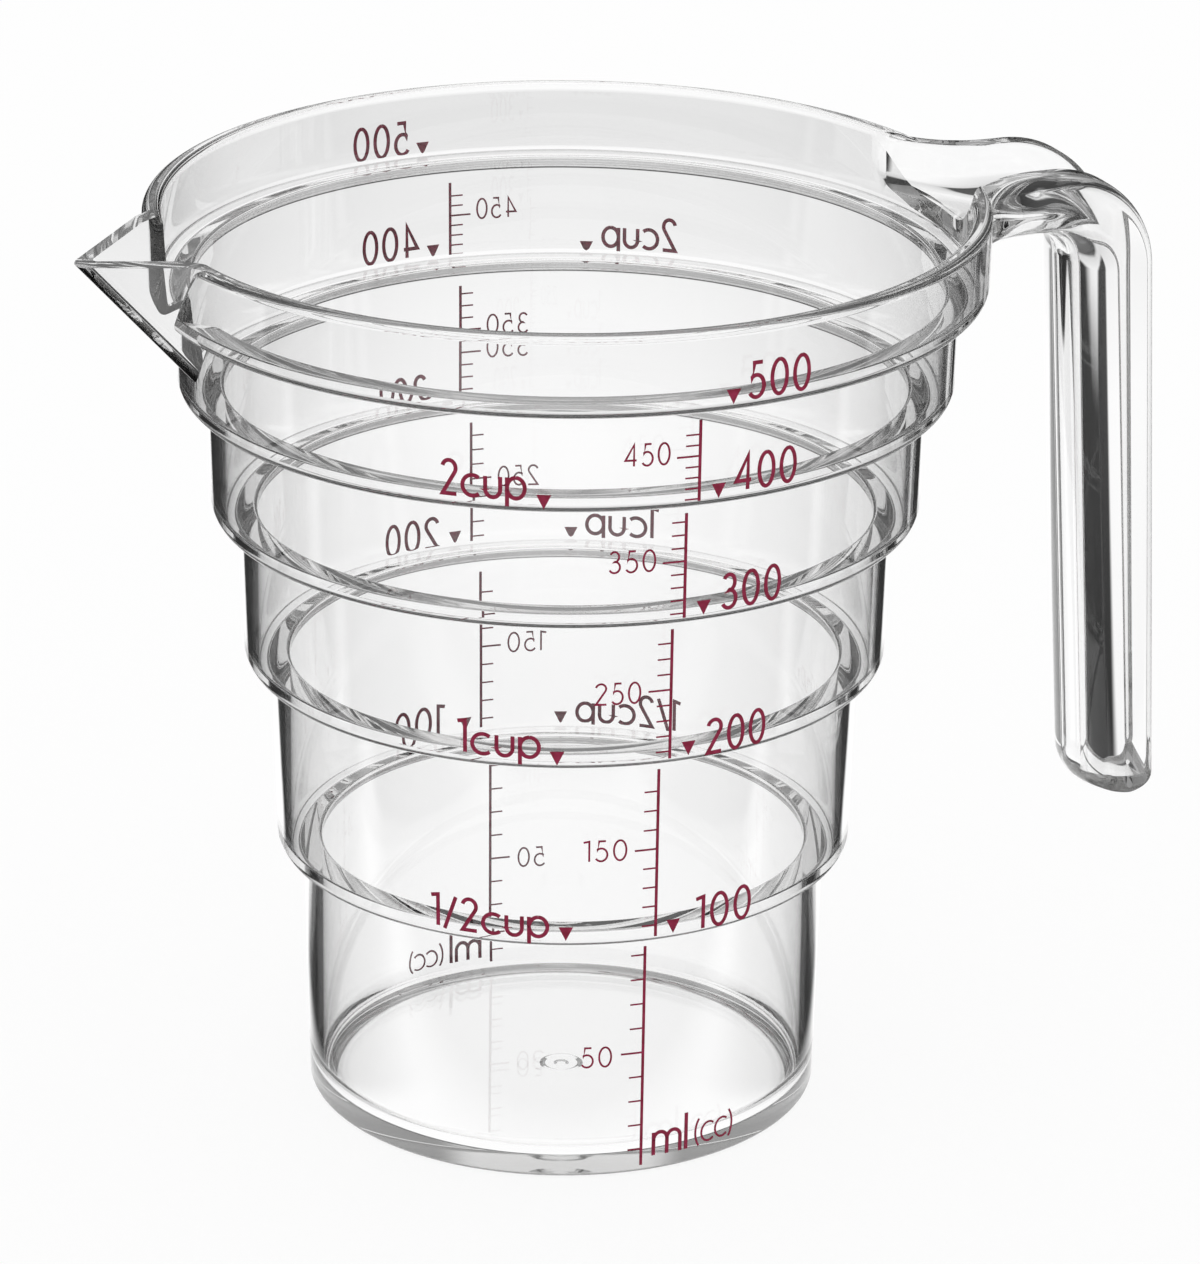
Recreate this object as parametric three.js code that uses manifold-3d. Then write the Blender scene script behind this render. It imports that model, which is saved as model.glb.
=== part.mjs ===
// Clear stepped measuring cup, 500 ml, with a V spout, a hook handle and printed scales.
// Millimetres, +Z up. The cup stands on z = 0 with its axis on Z, the handle is on +X,
// the spout is on -X, and the front print faces -Y.
import * as THREE from 'three';
import { mergeVertices } from 'three/addons/utils/BufferGeometryUtils.js';
import Module from 'manifold-3d';

const wasm = await Module();
wasm.setup();

// Heights of the five measuring bands, from the base up, and of the rim band above them.
const BAND_1_HEIGHT = 34.1;
const BAND_2_HEIGHT = 25.9;
const BAND_3_HEIGHT = 20.2;
const BAND_4_HEIGHT = 16.6;
const BAND_5_HEIGHT = 13.3;
const RIM_BAND_HEIGHT = 10.7;

// Outside radius at the base, what each ledge adds to it, and the draft of every band.
const BASE_RADIUS = 33.45;
const LEDGE_STEP = 4.0;
const WALL_DRAFT = 0.02;

// Wall of the moulding.
const BASE_WALL = 2.4;
const RIM_WALL = 2.2;
const LEDGE_WALL = 1.65;
const FLOOR_WALL = 2.0;
const BASE_EDGE_RADIUS = 0.6;
const LEDGE_EDGE_RADIUS = 0.8;
const FLOOR_FILLET = 3.5;
const RIM_EDGE_RADIUS = 1.0;
const RIM_LEAN = 0.015;

// Spout: a trough with a rounded V section whose keel climbs outwards from the fifth band.
const SPOUT_KEEL_ANGLE = 48.5;
const SPOUT_HALF_ANGLE = 46.0;
const SPOUT_KEEL_RADIUS = 3.0;
const SPOUT_WALL = 2.0;
const SPOUT_REACH = 9.75;
const SPOUT_KEEL_DROP = 3.2;
const SPOUT_LIP_FALL = 0.17;

// Handle: a strap with rounded edges and a crown on the face towards the fingers. It leaves the
// rim, bends down and hangs free. A channel, open on the other face, runs from the cup to its foot.
const HANDLE_TOP_DROP = 0.6;
const HANDLE_THICKNESS = 6.8;
const HANDLE_WIDTH = 20.0;
const HANDLE_EDGE_RADIUS = 1.8;
const HANDLE_CROWN = 3.0;
const HANDLE_LEVEL_LENGTH = 2.2;
const HANDLE_BEND_RADIUS = 10.65;
const HANDLE_SPLAY = 3.2;
const HANDLE_HANG = 89.2;
const HANDLE_FOOT_ROUND = 3.3;
const HANDLE_DRAFT = 0.006;
const HANDLE_ROOT_FILLET = 12.0;
const HANDLE_SEAT_GAP = 0.3;
const CHANNEL_WALL = 2.2;
const CHANNEL_DEPTH = 6.8;
const CHANNEL_FULLNESS = 3.6;
const CHANNEL_MOUTH_DEPTH = 6.2;
const CHANNEL_MOUTH_FULLNESS = 5.0;
const CHANNEL_FOOT_WALL = 2.4;

// Print: thin ink films that stand just clear of the wall.
const INK_THICKNESS = 0.12;
const INK_GAP = 0.04;
const SCALE_LINE_WIDTH = 0.36;
const SCALE_LINE_BOTTOM = 1.1;
const SCALE_LINE_TOP = 1.8;
const SCALE_OVERRUN = 0.5;
const SCALE_TICKS = [9, 8, 8, 8, 7];
const SCALE_TICK_HEIGHT = 0.18;
const SCALE_TICK_LENGTH = 1.8;
const SCALE_MID_TICK_HEIGHT = 0.22;
const SCALE_MID_TICK_LENGTH = 2.9;
const SCALE_1_ANGLE = -92.5;
const SCALE_2_ANGLE = -92.2;
const SCALE_3_ANGLE = -92.0;
const SCALE_4_ANGLE = -91.75;
const SCALE_5_ANGLE = -91.5;
const POINTER_WIDTH = 1.8;
const POINTER_HEIGHT = 1.85;
const POINTER_LIFT = 1.2;
const NUMBER_POINTER_ANGLE = -88.6;
const HALF_CUP_POINTER_ANGLE = -109.7;
const ONE_CUP_POINTER_ANGLE = -111.5;
const TWO_CUP_POINTER_ANGLE = -113.4;
const HALF_CUP_POINTER_LIFT = 1.2;
const ONE_CUP_POINTER_LIFT = 0.9;
const TWO_CUP_POINTER_LIFT = 0.8;

const WALL_SEGMENTS = 72;
const rad = THREE.MathUtils.degToRad;

const clearResin = new THREE.MeshStandardMaterial({
  color: 0xeef1f0,
  roughness: 0.04,
  metalness: 0,
  transparent: true,
  opacity: 0.35,
});
const wineInk = new THREE.MeshStandardMaterial({ color: 0x8f2246, roughness: 0.45, metalness: 0 });

// The bands from the base to the rim: lower end, upper end, outside radius at the lower end, wall.
const bandHeights = [
  BAND_1_HEIGHT,
  BAND_2_HEIGHT,
  BAND_3_HEIGHT,
  BAND_4_HEIGHT,
  BAND_5_HEIGHT,
  RIM_BAND_HEIGHT,
];
const bands = [];
let climbed = 0;
bandHeights.forEach((height, i) => {
  bands.push({
    low: climbed,
    high: climbed + height,
    radius: BASE_RADIUS + LEDGE_STEP * i,
    wall: THREE.MathUtils.lerp(BASE_WALL, RIM_WALL, i / (bandHeights.length - 1)),
  });
  climbed += height;
});
const baseBand = bands[0];
const rimBand = bands[bands.length - 1];
const rimHeight = rimBand.high;

function outsideRadius(band, z) {
  return band.radius + (z - band.low) * WALL_DRAFT;
}

// The core leaves the inside of each band upright.
function insideRadius(band) {
  return outsideRadius(band, (band.low + band.high) / 2) - band.wall;
}

function toSolid(geometry) {
  const bare = geometry.clone();
  bare.deleteAttribute('normal');
  bare.deleteAttribute('uv');
  const welded = mergeVertices(bare, 1e-4);
  return new wasm.Manifold(new wasm.Mesh({
    numProp: 3,
    vertProperties: new Float32Array(welded.attributes.position.array),
    triVerts: new Uint32Array(welded.index.array),
  }));
}

function toGeometry(solid) {
  const mesh = solid.getMesh();
  const geometry = new THREE.BufferGeometry();
  geometry.setAttribute('position', new THREE.BufferAttribute(new Float32Array(mesh.vertProperties), 3));
  geometry.setIndex(new THREE.BufferAttribute(new Uint32Array(mesh.triVerts), 1));
  geometry.computeVertexNormals();
  return geometry;
}

// Quarter round between two directions, given by its centre, radius and first and last angle.
function arc(centreR, centreZ, radius, from, to, steps) {
  const points = [];
  for (let i = 0; i <= steps; i += 1) {
    const angle = rad(from + ((to - from) * i) / steps);
    points.push(new THREE.Vector2(centreR + radius * Math.cos(angle), centreZ + radius * Math.sin(angle)));
  }
  return points;
}

// A turned solid about +Z from a profile of (radius, height) points that ends on the axis.
function turned(points) {
  const geometry = new THREE.LatheGeometry(points, WALL_SEGMENTS);
  geometry.rotateX(Math.PI / 2);
  return geometry;
}

// Outside of the cup as a filled solid of revolution. The spare is added all round.
function outsideProfile(spare) {
  const edge = LEDGE_EDGE_RADIUS;
  const foot = BASE_EDGE_RADIUS;
  const points = [new THREE.Vector2(0, 0)];
  points.push(...arc(BASE_RADIUS - foot + spare, foot, foot, -90, 0, 3));
  bands.forEach((band) => {
    if (band !== baseBand) {
      points.push(...arc(band.radius - edge + spare, band.low + edge, edge, -90, 0, 2));
    }
    const top = outsideRadius(band, band.high) + spare;
    if (band !== rimBand) {
      points.push(new THREE.Vector2(top, band.high));
    } else {
      points.push(...arc(top - RIM_EDGE_RADIUS, rimHeight - RIM_EDGE_RADIUS, RIM_EDGE_RADIUS, 0, 90, 3));
    }
  });
  points.push(new THREE.Vector2(0, rimHeight));
  return points;
}

// Inside of the cup as a filled solid that runs out above the rim.
function insideProfile() {
  const edge = LEDGE_EDGE_RADIUS;
  const points = [new THREE.Vector2(0, FLOOR_WALL)];
  const floorSide = insideRadius(baseBand);
  points.push(...arc(floorSide - FLOOR_FILLET, FLOOR_WALL + FLOOR_FILLET, FLOOR_FILLET, -90, 0, 5));
  for (let i = 1; i < bands.length; i += 1) {
    const below = bands[i - 1];
    const band = bands[i];
    const step = band.low + LEDGE_WALL;
    points.push(...arc(insideRadius(below) + edge, step - edge, edge, 180, 90, 2));
    points.push(...arc(insideRadius(band) - edge, step + edge, edge, -90, 0, 2));
  }
  const mouth = insideRadius(rimBand) - RIM_BAND_HEIGHT * RIM_LEAN;
  points.push(...arc(mouth + RIM_EDGE_RADIUS, rimHeight - RIM_EDGE_RADIUS, RIM_EDGE_RADIUS, 180, 90, 3));
  const clear = rimHeight + 2 * RIM_EDGE_RADIUS;
  points.push(new THREE.Vector2(mouth + RIM_EDGE_RADIUS, clear));
  points.push(new THREE.Vector2(0, clear));
  return points;
}

// Rounded V trough along the keel. The inset moves it inwards from the outside of the spout.
function trough(inset) {
  const half = rad(SPOUT_HALF_ANGLE);
  const round = SPOUT_KEEL_RADIUS - inset;
  const arm = rimBand.radius;
  const span = 90 - SPOUT_HALF_ANGLE;
  const right = new THREE.Vector2(0, SPOUT_KEEL_RADIUS);
  right.x += round * Math.sin(rad(span));
  right.y -= round * Math.cos(rad(span));
  const shape = new THREE.Shape();
  shape.moveTo(-right.x - arm * Math.sin(half), right.y + arm * Math.cos(half));
  shape.lineTo(-right.x, right.y);
  shape.absarc(0, SPOUT_KEEL_RADIUS, round, rad(-90 - span), rad(-90 + span), false);
  shape.lineTo(right.x + arm * Math.sin(half), right.y + arm * Math.cos(half));
  const keel = rad(SPOUT_KEEL_ANGLE);
  const back = (SPOUT_REACH + 2 * LEDGE_STEP) / Math.cos(keel);
  const geometry = new THREE.ExtrudeGeometry(shape, {
    depth: back + 2 * SPOUT_REACH,
    bevelEnabled: false,
    curveSegments: 6,
  });
  geometry.translate(0, 0, -back);
  const along = new THREE.Vector3(-Math.cos(keel), 0, Math.sin(keel));
  const up = new THREE.Vector3(Math.sin(keel), 0, Math.cos(keel));
  const across = new THREE.Vector3().crossVectors(up, along);
  const frame = new THREE.Matrix4().makeBasis(across, up, along);
  frame.setPosition(-rimBand.radius - SPOUT_REACH, 0, rimHeight - SPOUT_KEEL_DROP);
  geometry.applyMatrix4(frame);
  return toSolid(geometry);
}

// Everything under the rim plane and under the spout's lip, which falls gently outwards.
function underLip() {
  const size = 4 * rimHeight;
  const flat = new THREE.BoxGeometry(size, size, size);
  flat.translate(0, 0, rimHeight - size / 2);
  const sloped = new THREE.BoxGeometry(size, size, size);
  sloped.translate(0, 0, -size / 2);
  sloped.rotateY(-Math.atan(SPOUT_LIP_FALL));
  sloped.translate(-rimBand.radius, 0, rimHeight);
  return toSolid(flat).intersect(toSolid(sloped));
}

const outside = toSolid(turned(outsideProfile(0)));
const inside = toSolid(turned(insideProfile()));
const spoutOutside = trough(0).intersect(underLip());
const spoutInside = trough(SPOUT_WALL);
const bodySolid = outside.add(spoutOutside).subtract(inside).subtract(spoutInside);

// Lays an outline across the strap at one station: x of a point runs out of the strap, y along Y.
function across(station, outline) {
  return outline.map((point) => {
    const x = station.x + point.x * Math.cos(station.normal);
    const z = station.z + point.x * Math.sin(station.normal);
    return new THREE.Vector3(x, point.y, z);
  });
}

// Ring across the strap at one station: four rounded edges and the crowned inner face.
const CORNER_POINTS = 6;
const FACE_POINTS = 8;
const EDGE_LIMIT = 0.98;

function strapRing(station) {
  const edge = EDGE_LIMIT * Math.min(HANDLE_EDGE_RADIUS, station.half, station.wide);
  const flat = station.wide - edge;
  const outline = [];
  for (let corner = 0; corner < 4; corner += 1) {
    const signN = corner === 0 || corner === 3 ? 1 : -1;
    const signY = corner < 2 ? 1 : -1;
    for (let i = 0; i < CORNER_POINTS; i += 1) {
      const turn = rad(90 * corner + (90 * i) / (CORNER_POINTS - 1));
      const n = signN * (station.half - edge) + edge * Math.cos(turn);
      outline.push(new THREE.Vector2(n, signY * flat + edge * Math.sin(turn)));
    }
    for (let i = 1; corner === 1 && i < FACE_POINTS; i += 1) {
      outline.push(new THREE.Vector2(-station.half, flat * (1 - (2 * i) / FACE_POINTS)));
    }
  }
  const crowned = outline.map((point) => {
    const inner = Math.max(0, -point.x / station.half);
    const swell = HANDLE_CROWN * Math.max(0, 1 - (point.y / station.wide) ** 2);
    return new THREE.Vector2(point.x - swell * inner, point.y);
  });
  return across(station, crowned);
}

// Plan of the handle's root: where the side fillets leave the rim and where they end.
const rimOuter = outsideRadius(rimBand, rimHeight);
const filletReach = HANDLE_WIDTH / 2 + HANDLE_ROOT_FILLET;
const filletEnd = Math.sqrt((rimOuter + HANDLE_ROOT_FILLET) ** 2 - filletReach ** 2);

// Stations along the strap from inside the rim to the rounded foot.
function strapStations() {
  const stations = [];
  const half = HANDLE_THICKNESS / 2;
  const wide = HANDLE_WIDTH / 2;
  const top = rimHeight - HANDLE_TOP_DROP;
  const levelZ = top - half;
  const fillet = HANDLE_ROOT_FILLET;
  const filletStart = filletEnd * (rimOuter / (rimOuter + fillet));
  const rootSteps = 9;
  for (let i = 0; i <= rootSteps; i += 1) {
    const x = THREE.MathUtils.lerp(filletStart, filletEnd, i / rootSteps);
    const flare = fillet - Math.sqrt(fillet ** 2 - (filletEnd - x) ** 2);
    stations.push({ x, z: levelZ, half, wide: wide + flare, normal: Math.PI / 2 });
  }
  const bendStart = filletEnd + HANDLE_LEVEL_LENGTH;
  const turn = 90 - HANDLE_SPLAY;
  const bendSteps = 10;
  const centreZ = levelZ - HANDLE_BEND_RADIUS;
  for (let i = 0; i <= bendSteps; i += 1) {
    const angle = rad(90 - (turn * i) / bendSteps);
    stations.push({
      x: bendStart + HANDLE_BEND_RADIUS * Math.cos(angle),
      z: centreZ + HANDLE_BEND_RADIUS * Math.sin(angle),
      half,
      wide,
      normal: angle,
    });
  }
  const legTop = stations[stations.length - 1];
  const down = new THREE.Vector2(Math.sin(rad(HANDLE_SPLAY)), -Math.cos(rad(HANDLE_SPLAY)));
  const length = (legTop.z - top + HANDLE_HANG) / -down.y;
  const footSteps = 6;
  const round = HANDLE_FOOT_ROUND;
  for (let i = 0; i <= footSteps; i += 1) {
    const turnIn = rad((90 * i) / footSteps);
    const s = length - round + round * Math.sin(turnIn);
    const drawIn = round * (1 - Math.cos(turnIn)) + s * HANDLE_DRAFT;
    stations.push({
      x: legTop.x + down.x * s,
      z: legTop.z + down.y * s,
      half: half - drawIn,
      wide: wide - drawIn,
      normal: legTop.normal,
    });
  }
  return stations;
}

// A closed cylinder whose rows are laid on rings of equally many points.
function loft(rings, centres) {
  const rows = rings.length - 1;
  const around = rings[0].length;
  const geometry = new THREE.CylinderGeometry(1, 1, 1, around, rows);
  const position = geometry.attributes.position;
  for (let i = 0; i < position.count; i += 1) {
    const row = Math.round((0.5 - position.getY(i)) * rows);
    const onAxis = Math.hypot(position.getX(i), position.getZ(i)) < 0.5;
    const turn = Math.atan2(position.getX(i), position.getZ(i)) / (2 * Math.PI);
    const index = (Math.round(turn * around) + around) % around;
    const point = onAxis ? centres[row] : rings[row][index];
    position.setXYZ(i, point.x, point.y, point.z);
  }
  return toSolid(geometry);
}

// Ring across the channel at one station. The channel is open above its edge.
const CHANNEL_POINTS = 16;

function channelRing(station) {
  const open = station.edge + CHANNEL_MOUTH_DEPTH;
  const outline = [new THREE.Vector2(open, -station.side), new THREE.Vector2(open, station.side)];
  for (let i = 0; i <= CHANNEL_POINTS; i += 1) {
    const y = 1 - (2 * i) / CHANNEL_POINTS;
    const dip = 1 - Math.abs(y) ** station.fullness;
    outline.push(new THREE.Vector2(station.edge - station.depth * dip, station.side * y));
  }
  return across(station, outline);
}

// Stations along what the core takes out of the rim and of the strap. The channel narrows with
// the root, so the rim runs out along both edges of the handle, and it stops short of the foot.
function channelStations(strap) {
  const stations = [];
  const foot = strap[strap.length - 1];
  const bend = strap.filter((station) => station.half === strap[0].half && station.x > filletEnd);
  const bow = HANDLE_ROOT_FILLET + CHANNEL_WALL;
  const start = filletEnd * ((rimOuter - CHANNEL_WALL) / (rimOuter + HANDLE_ROOT_FILLET));
  const clear = 0.1;
  const rootSteps = 12;
  for (let i = -1; i <= rootSteps; i += 1) {
    const share = Math.max(0, i / rootSteps);
    const eased = THREE.MathUtils.smoothstep(share, 0, 1);
    const rimEdge = rimHeight + clear - strap[0].z;
    stations.push({
      x: THREE.MathUtils.lerp(start, filletEnd, share) - (i < 0 ? 3 * CHANNEL_WALL : 0),
      z: strap[0].z,
      normal: strap[0].normal,
      side: filletReach - Math.sqrt(bow ** 2 - ((filletEnd - start) * (1 - share)) ** 2),
      depth: THREE.MathUtils.lerp(CHANNEL_MOUTH_DEPTH, CHANNEL_DEPTH, eased),
      fullness: THREE.MathUtils.lerp(CHANNEL_MOUTH_FULLNESS, CHANNEL_FULLNESS, eased),
      edge: THREE.MathUtils.lerp(rimEdge, strap[0].half + clear, eased),
    });
  }
  const run = { side: HANDLE_WIDTH / 2 - CHANNEL_WALL, depth: CHANNEL_DEPTH, fullness: CHANNEL_FULLNESS };
  bend.forEach((station) => {
    stations.push({ ...station, ...run, edge: station.half + clear });
  });
  const legTop = bend[bend.length - 1];
  const length = Math.hypot(foot.x - legTop.x, foot.z - legTop.z);
  const reach = 1 - CHANNEL_FOOT_WALL / length;
  const drawIn = length * HANDLE_DRAFT;
  stations.push({
    x: THREE.MathUtils.lerp(legTop.x, foot.x, reach),
    z: THREE.MathUtils.lerp(legTop.z, foot.z, reach),
    normal: legTop.normal,
    side: run.side - drawIn,
    depth: run.depth - drawIn,
    fullness: run.fullness,
    edge: legTop.half + clear,
  });
  return stations;
}

const stations = strapStations();
const strapCentres = stations.map((station) => new THREE.Vector3(station.x, 0, station.z));
const hollow = channelStations(stations);
const hollowCentres = hollow.map((station) => across(station, [new THREE.Vector2(station.edge, 0)])[0]);
const channel = loft(hollow.map(channelRing), hollowCentres);
const cupSolid = bodySolid.subtract(channel);
const handleSolid = loft(stations.map(strapRing), strapCentres)
  .subtract(toSolid(turned(outsideProfile(HANDLE_SEAT_GAP))))
  .subtract(channel);

// Lays a flat piece on a band: x runs round the wall, y climbs it and z stands off it.
function wrapOnBand(geometry, band, angleDegrees) {
  const position = geometry.attributes.position;
  for (let i = 0; i < position.count; i += 1) {
    const z = position.getY(i);
    const wall = outsideRadius(band, z);
    const angle = rad(angleDegrees) + position.getX(i) / wall;
    const radius = wall + INK_GAP + position.getZ(i);
    position.setXYZ(i, radius * Math.cos(angle), radius * Math.sin(angle), z);
  }
  return geometry;
}

function inkBar(band, angle, left, right, low, high) {
  const steps = Math.max(1, Math.ceil(right - left));
  const geometry = new THREE.BoxGeometry(right - left, high - low, INK_THICKNESS, steps, 1, 1);
  geometry.translate((left + right) / 2, (low + high) / 2, INK_THICKNESS / 2);
  return toSolid(wrapOnBand(geometry, band, angle));
}

// One ladder: an upright line with a tick to its left at each 10 ml, the 50 ml tick longer.
function scaleLadder(band, angle, ticks) {
  const bottom = band.low + SCALE_LINE_BOTTOM;
  const top = band.high - SCALE_LINE_TOP;
  const pitch = (band.high - band.low + SCALE_OVERRUN) / 10;
  let solid = inkBar(band, angle, -SCALE_LINE_WIDTH / 2, SCALE_LINE_WIDTH / 2, bottom, top);
  for (let i = 1; i <= ticks; i += 1) {
    const middle = i === 5;
    const length = middle ? SCALE_MID_TICK_LENGTH : SCALE_TICK_LENGTH;
    const height = middle ? SCALE_MID_TICK_HEIGHT : SCALE_TICK_HEIGHT;
    const z = band.low + pitch * i;
    solid = solid.add(inkBar(band, angle, -length, 0, z - height / 2, z + height / 2));
  }
  return solid;
}

// A solid triangle with its point downwards.
function pointer(band, angle, lift) {
  const tip = band.low + lift;
  const shape = new THREE.Shape();
  shape.moveTo(0, tip);
  shape.lineTo(POINTER_WIDTH / 2, tip + POINTER_HEIGHT);
  shape.lineTo(-POINTER_WIDTH / 2, tip + POINTER_HEIGHT);
  const geometry = new THREE.ExtrudeGeometry(shape, { depth: INK_THICKNESS, bevelEnabled: false });
  return toSolid(wrapOnBand(geometry, band, angle));
}

const cup = new THREE.Group();

function addPart(name, solid, material) {
  const mesh = new THREE.Mesh(toGeometry(solid), material);
  mesh.name = name;
  cup.add(mesh);
}

addPart('cup_body', cupSolid, clearResin);
addPart('handle', handleSolid, clearResin);

const scaleAngles = [SCALE_1_ANGLE, SCALE_2_ANGLE, SCALE_3_ANGLE, SCALE_4_ANGLE, SCALE_5_ANGLE];
const sides = { front: 0, back: 180 };
for (const [side, turn] of Object.entries(sides)) {
  scaleAngles.forEach((angle, i) => {
    const ladder = scaleLadder(bands[i], angle + turn, SCALE_TICKS[i]);
    addPart(`scale_${side}_${(i + 1) * 100}`, ladder, wineInk);
  });
  for (let i = 1; i < bands.length; i += 1) {
    const name = `pointer_${side}_${i * 100}`;
    addPart(name, pointer(bands[i], NUMBER_POINTER_ANGLE + turn, POINTER_LIFT), wineInk);
  }
  const half = pointer(bands[1], HALF_CUP_POINTER_ANGLE + turn, HALF_CUP_POINTER_LIFT);
  const one = pointer(bands[2], ONE_CUP_POINTER_ANGLE + turn, ONE_CUP_POINTER_LIFT);
  const two = pointer(bands[4], TWO_CUP_POINTER_ANGLE + turn, TWO_CUP_POINTER_LIFT);
  addPart(`pointer_${side}_half_cup`, half, wineInk);
  addPart(`pointer_${side}_one_cup`, one, wineInk);
  addPart(`pointer_${side}_two_cup`, two, wineInk);
}

export default cup;
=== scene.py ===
import math

import bpy
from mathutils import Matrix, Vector


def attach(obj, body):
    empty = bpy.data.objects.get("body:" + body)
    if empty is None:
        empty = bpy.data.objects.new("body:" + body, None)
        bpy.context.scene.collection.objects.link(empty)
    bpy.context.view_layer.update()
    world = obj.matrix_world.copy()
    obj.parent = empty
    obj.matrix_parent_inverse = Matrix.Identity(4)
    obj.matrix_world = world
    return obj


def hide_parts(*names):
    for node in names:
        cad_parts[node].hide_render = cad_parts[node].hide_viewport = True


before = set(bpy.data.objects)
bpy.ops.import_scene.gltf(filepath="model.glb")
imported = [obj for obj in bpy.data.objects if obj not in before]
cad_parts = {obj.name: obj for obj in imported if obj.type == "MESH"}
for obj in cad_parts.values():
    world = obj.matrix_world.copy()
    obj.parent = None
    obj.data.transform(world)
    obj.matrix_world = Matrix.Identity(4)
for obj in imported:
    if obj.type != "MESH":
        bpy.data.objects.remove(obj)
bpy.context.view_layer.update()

# The stepped body: the bowl of one clear moulding, shot in resin against polished steel.
# Five measuring bands step outwards under a rim band, each drafted a little so that the cup
# leaves its mould. Spout and handle are joined to it before the core is taken out.
MM = 0.001
BAND_HEIGHTS = (34.1, 25.9, 20.2, 16.6, 13.3, 10.7)
BASE_RADIUS = 33.45
LEDGE_STEP = 4.0
WALL_DRAFT = 0.02
BASE_WALL = 2.4
RIM_WALL = 2.2
LEDGE_WALL = 1.65
FLOOR_WALL = 1.6
FLOOR_FILLET = 3.5
BASE_EDGE = 0.6
LEDGE_EDGE = 1.4
LIP_EDGE = 0.5
INNER_CORNER = 0.4
RIM_EDGE = 1.05
RIM_LEAN = 0.02
GATE_RADIUS = 2.5
GROOVE_HALF_WIDTH = 0.36
GROOVE_DEPTH = 0.36
PIT_DEPTH = 0.45
PIT_FLOOR_RADIUS = 0.625
PIT_MOUTH_RADIUS = 1.0
TURN_STEPS = 288
ARC_STEPS = 8
# A point this far beyond each rounding keeps the face beside it flat when the shading is smoothed.
HOLD = 0.03

RIM_HEIGHT = sum(BAND_HEIGHTS)
bands = []
for index, height in enumerate(BAND_HEIGHTS):
    low = sum(BAND_HEIGHTS[:index])
    share = index / (len(BAND_HEIGHTS) - 1)
    bands.append({
        "low": low,
        "high": low + height,
        "radius": BASE_RADIUS + LEDGE_STEP * index,
        "wall": BASE_WALL + (RIM_WALL - BASE_WALL) * share,
    })


def outside_radius(band, z):
    return band["radius"] + (z - band["low"]) * WALL_DRAFT


def inside_radius(band):
    """The core leaves the inside of each band upright."""
    return outside_radius(band, (band["low"] + band["high"]) / 2) - band["wall"]


def rounded_outline(corners):
    """Points of an open outline whose corners (x, y, radius) are rounded by arcs."""
    points = [Vector(corners[0][:2])]
    for before, corner, after in zip(corners, corners[1:], corners[2:]):
        at = Vector(corner[:2])
        towards = (Vector(before[:2]) - at).normalized()
        onwards = (Vector(after[:2]) - at).normalized()
        half = towards.angle(onwards) / 2
        radius = corner[2]
        if radius == 0:
            points.append(at)
            continue
        centre = at + (towards + onwards).normalized() * (radius / math.sin(half))
        points.append(at + towards * (radius / math.tan(half) + HOLD))
        start = at + towards * (radius / math.tan(half)) - centre
        end = at + onwards * (radius / math.tan(half)) - centre
        sweep = start.angle_signed(end)
        for step in range(ARC_STEPS + 1):
            turn = -sweep * step / ARC_STEPS
            spoke = Vector((
                start.x * math.cos(turn) - start.y * math.sin(turn),
                start.x * math.sin(turn) + start.y * math.cos(turn),
            ))
            points.append(centre + spoke)
        points.append(at + onwards * (radius / math.tan(half) + HOLD))
    points.append(Vector(corners[-1][:2]))
    return points


def mesh_object(name, vertices, faces):
    """Object in metres from vertices in millimetres."""
    mesh = bpy.data.meshes.new(name)
    mesh.from_pydata([Vector(v) * MM for v in vertices], [], faces)
    mesh.validate()
    made = bpy.data.objects.new(name, mesh)
    bpy.context.collection.objects.link(made)
    return made


def turned_solid(name, outline):
    """Solid of revolution about Z from an outline whose two ends lie on the axis."""
    vertices = [(0, 0, outline[0].y), (0, 0, outline[-1].y)]
    rings = outline[1:-1]
    for point in rings:
        for step in range(TURN_STEPS):
            angle = 2 * math.pi * step / TURN_STEPS
            vertices.append((point.x * math.cos(angle), point.x * math.sin(angle), point.y))
    faces = []
    for step in range(TURN_STEPS):
        after = (step + 1) % TURN_STEPS
        faces.append((0, 2 + after, 2 + step))
        last = 2 + (len(rings) - 1) * TURN_STEPS
        faces.append((1, last + step, last + after))
        for ring in range(len(rings) - 1):
            here = 2 + ring * TURN_STEPS
            there = here + TURN_STEPS
            faces.append((here + step, here + after, there + after, there + step))
    return mesh_object(name, vertices, faces)


outside = [(0, PIT_DEPTH, 0), (PIT_FLOOR_RADIUS, PIT_DEPTH, 0), (PIT_MOUTH_RADIUS, 0, 0)]
for width, depth in ((-GROOVE_HALF_WIDTH, 0), (0, GROOVE_DEPTH), (GROOVE_HALF_WIDTH, 0)):
    outside.append((GATE_RADIUS + width, depth, 0))
outside.append((BASE_RADIUS, 0, BASE_EDGE))
for lower, upper in zip(bands, bands[1:]):
    outside.append((outside_radius(lower, lower["high"]), lower["high"], INNER_CORNER))
    outside.append((upper["radius"], upper["low"], LEDGE_EDGE))
rim_outer = outside_radius(bands[-1], RIM_HEIGHT)
outside.append((rim_outer, RIM_HEIGHT, RIM_EDGE))
outside.append((0, RIM_HEIGHT, 0))
cup = turned_solid("cup_moulding", rounded_outline(outside))

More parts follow.
